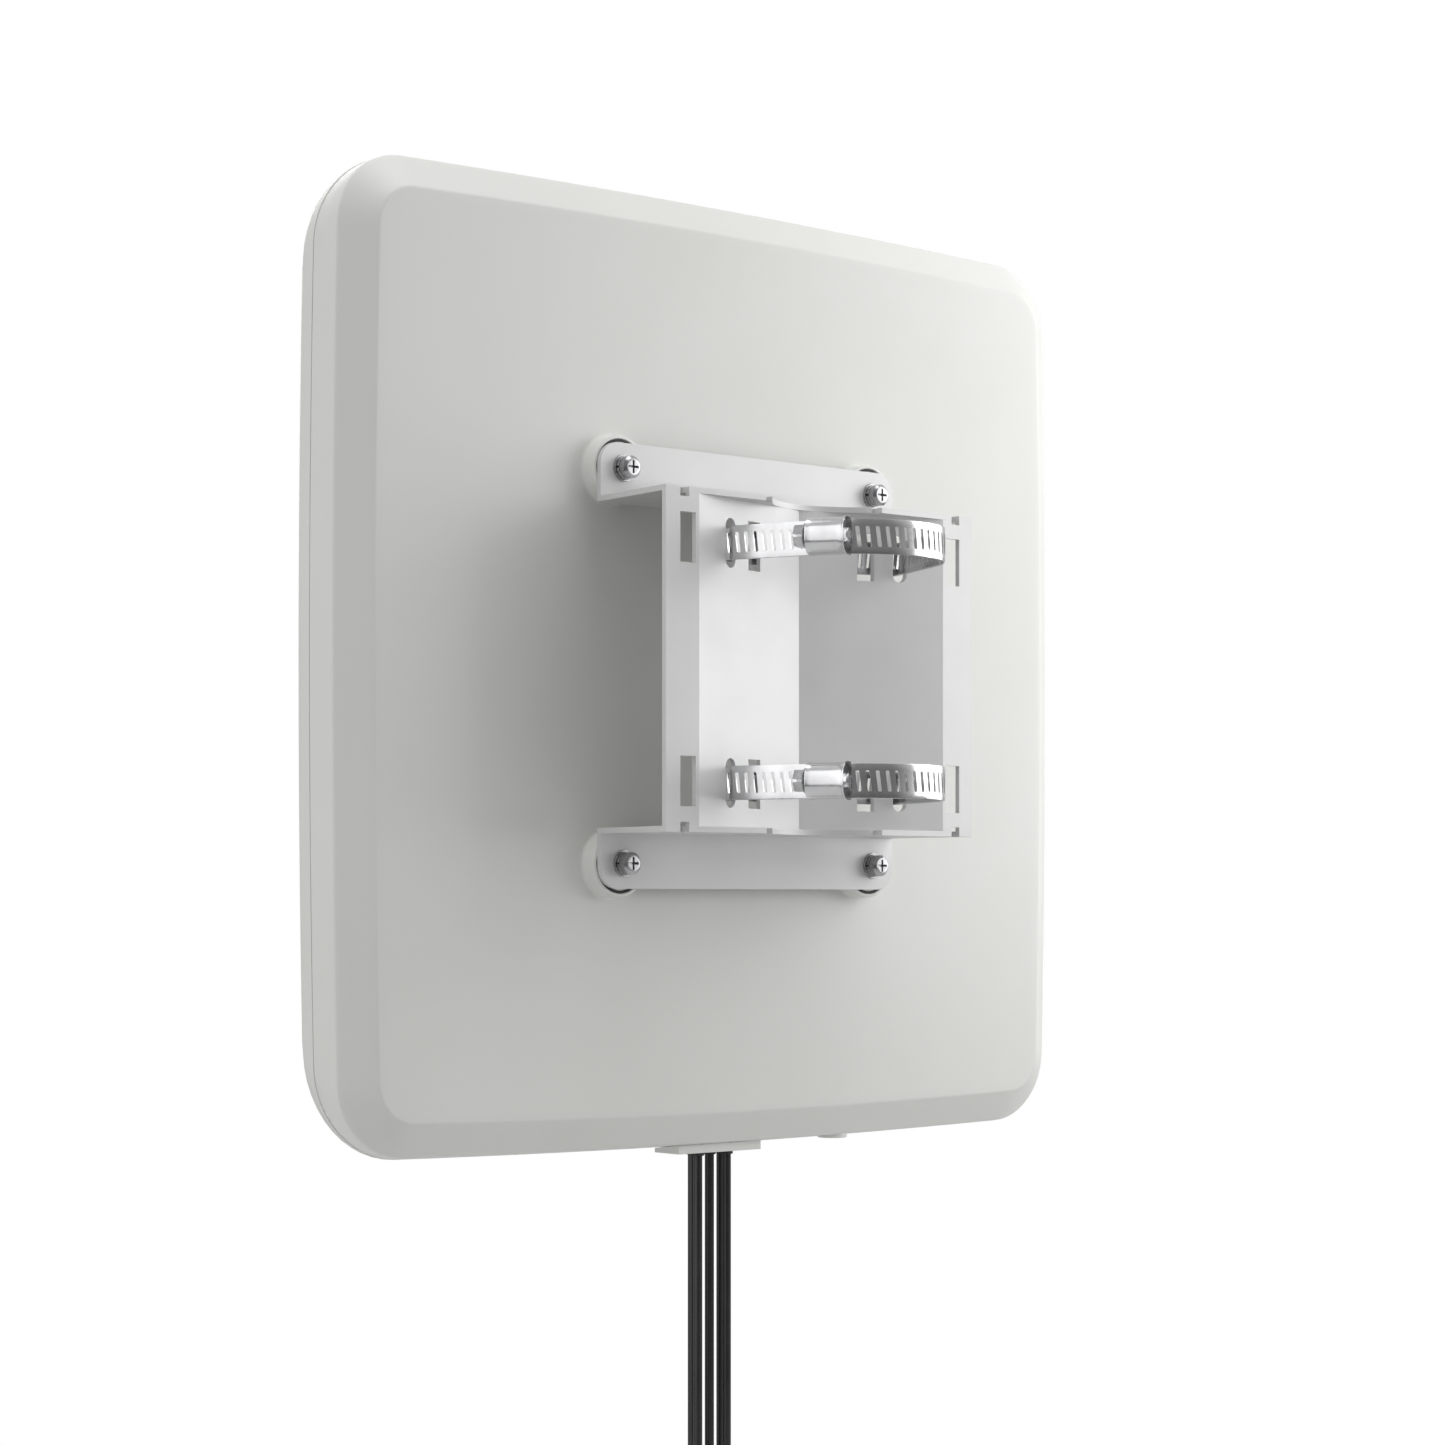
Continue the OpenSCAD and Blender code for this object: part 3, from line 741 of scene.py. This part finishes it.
def knurl(bm, place, top, bottom):
    """A ring of fine straight teeth."""
    teeth = 36
    crest, root = 3.85, 3.65
    rings = []
    for height, scale in ((top, 0.95), (top - 0.3, 1), (bottom + 0.3, 1), (bottom, 0.95)):
        ring = []
        for k in range(2 * teeth):
            a = math.pi * k / teeth
            r = (crest if k % 2 else root) * scale
            ring.append(place @ Vector((r * math.cos(a), r * math.sin(a), height)))
        rings.append(ring)
    loft(bm, rings)


# ---- every piece ----

for number in LEADS:
    lead(number)

rear_cover()
front_radome()
for sheet in ("saddle_plate", "upper_angle", "lower_angle"):
    bevelled(sheet, "bracket_paint", 0.45, segments=3)
for level, height in CLAMP_Z.items():
    band(f"{level}_band_strip", f"{level}_band")
    housing(f"{level}_housing_shell", f"{level}_housing", height)
    worm(f"{level}_worm_screw", f"{level}_worm", f"{level}_worm", height)
bevelled("bracket_screws", "screw_steel", 0.18)
bevelled("spring_washers", "screw_steel", 0.15)
bevelled("flat_washers", "screw_steel", 0.15)
bevelled("entry_plate", "cover_plastic", 0.4)
bevelled("lead_grommets", "seal_rubber", 0.25)
bevelled("vent_plug", "cover_plastic", 0.3)
bevelled("boss_seals", "seal_rubber", 0.2)

for subpart in frame["record"]["subparts"]:
    for place in frame["nodes"][subpart["node"]].material_slots:
        place.material = FINISHES[subpart["material_slot"]]


# ---- stage ----

def area_light(name, location, target, size, energy):
    """A square light of this size in metres and energy in watts, aimed at the target."""
    data = bpy.data.lights.new(name, "AREA")
    data.shape = "SQUARE"
    data.size = size
    data.energy = energy
    light = bpy.data.objects.new(name, data)
    bpy.context.scene.collection.objects.link(light)
    light.location = location
    aim = Vector(target) - Vector(location)
    light.rotation_euler = aim.to_track_quat("-Z", "Y").to_euler()


def floor():
    """A pale round floor, a little way under the ends of the leads."""
    height = cad_low.z - 0.03
    radius = 0.85
    count = 128
    turns = [2 * math.pi * k / count for k in range(count)]
    rim = [(radius * math.cos(a), radius * math.sin(a), height) for a in turns]
    mesh = bpy.data.meshes.new("floor")
    mesh.from_pydata(rim, [], [range(count)])
    s = Shader("floor_paint")
    s.colour(s.noise(3, 2), (0.6, 0.6, 0.6), (0.62, 0.62, 0.62))
    s.roughness(s.noise(8, 2), 0.7, 0.8)
    mesh.materials.append(s.material)
    stage = bpy.data.objects.new("floor", mesh)
    bpy.context.scene.collection.objects.link(stage)


def studio_world(dark, light, shade):
    """A white surround to look at, whose own light fades downwards and is dimmed by shade on one side."""
    shaded_turn = math.radians(60)
    world = bpy.data.worlds.new("studio")
    bpy.context.scene.world = world
    world.use_nodes = True
    tree = world.node_tree
    background = tree.nodes["Background"]
    place = tree.nodes.new("ShaderNodeTexCoord")
    split = tree.nodes.new("ShaderNodeSeparateXYZ")
    seen = tree.nodes.new("ShaderNodeLightPath")
    pick = tree.nodes.new("ShaderNodeMix")
    toward = tree.nodes.new("ShaderNodeVectorMath")
    toward.operation = "DOT_PRODUCT"
    toward.inputs[1].default_value = (math.cos(shaded_turn), math.sin(shaded_turn), 0)
    both = tree.nodes.new("ShaderNodeMath")
    both.operation = "MULTIPLY"
    pick.inputs["B"].default_value = 1.0

    def ramp(value, start, end, low, high):
        spread = tree.nodes.new("ShaderNodeMapRange")
        spread.interpolation_type = "SMOOTHSTEP"
        for key, number in (("From Min", start), ("From Max", end), ("To Min", low), ("To Max", high)):
            spread.inputs[key].default_value = number
        tree.links.new(value, spread.inputs["Value"])
        return spread.outputs["Result"]

    tree.links.new(place.outputs["Generated"], split.inputs["Vector"])
    tree.links.new(place.outputs["Generated"], toward.inputs[0])
    tree.links.new(ramp(split.outputs["Z"], -0.6, 0.5, dark, light), both.inputs[0])
    tree.links.new(ramp(toward.outputs["Value"], 0.45, 0.85, 1.0, shade), both.inputs[1])
    tree.links.new(both.outputs["Value"], pick.inputs["A"])
    tree.links.new(seen.outputs["Is Camera Ray"], pick.inputs["Factor"])
    tree.links.new(pick.outputs["Result"], background.inputs["Strength"])
    background.inputs["Color"].default_value = (1, 1, 1, 1)


def studio():
    """Soft lights for the rear panel and the bracket, the side wall, the upper edge and the front."""
    bpy.context.scene.view_settings.view_transform = "Standard"
    studio_world(0.22, 0.64, 0.42)
    area_light("key", (-0.42, 0.26, 0.1), (-0.12, -0.06, 0), 0.4, 1.05)
    area_light("high_key", (-0.5, 0.3, 0.5), (-0.1, -0.06, 0.05), 0.5, 1.0)
    area_light("graze", (-0.75, 0.12, 0.1), (-0.1, -0.06, 0), 0.6, 1.9)
    area_light("side_fill", (1.3, 0.0, 0.3), (0.17, -0.08, 0), 1.7, 8.1)
    area_light("top", (0.0, 0.2, 1.2), (0, -0.06, 0.1), 0.8, 5.5)
    area_light("front_fill", (-0.6, -1.6, 0.8), (0, -0.09, 0), 1.2, 7)
    floor()


studio()
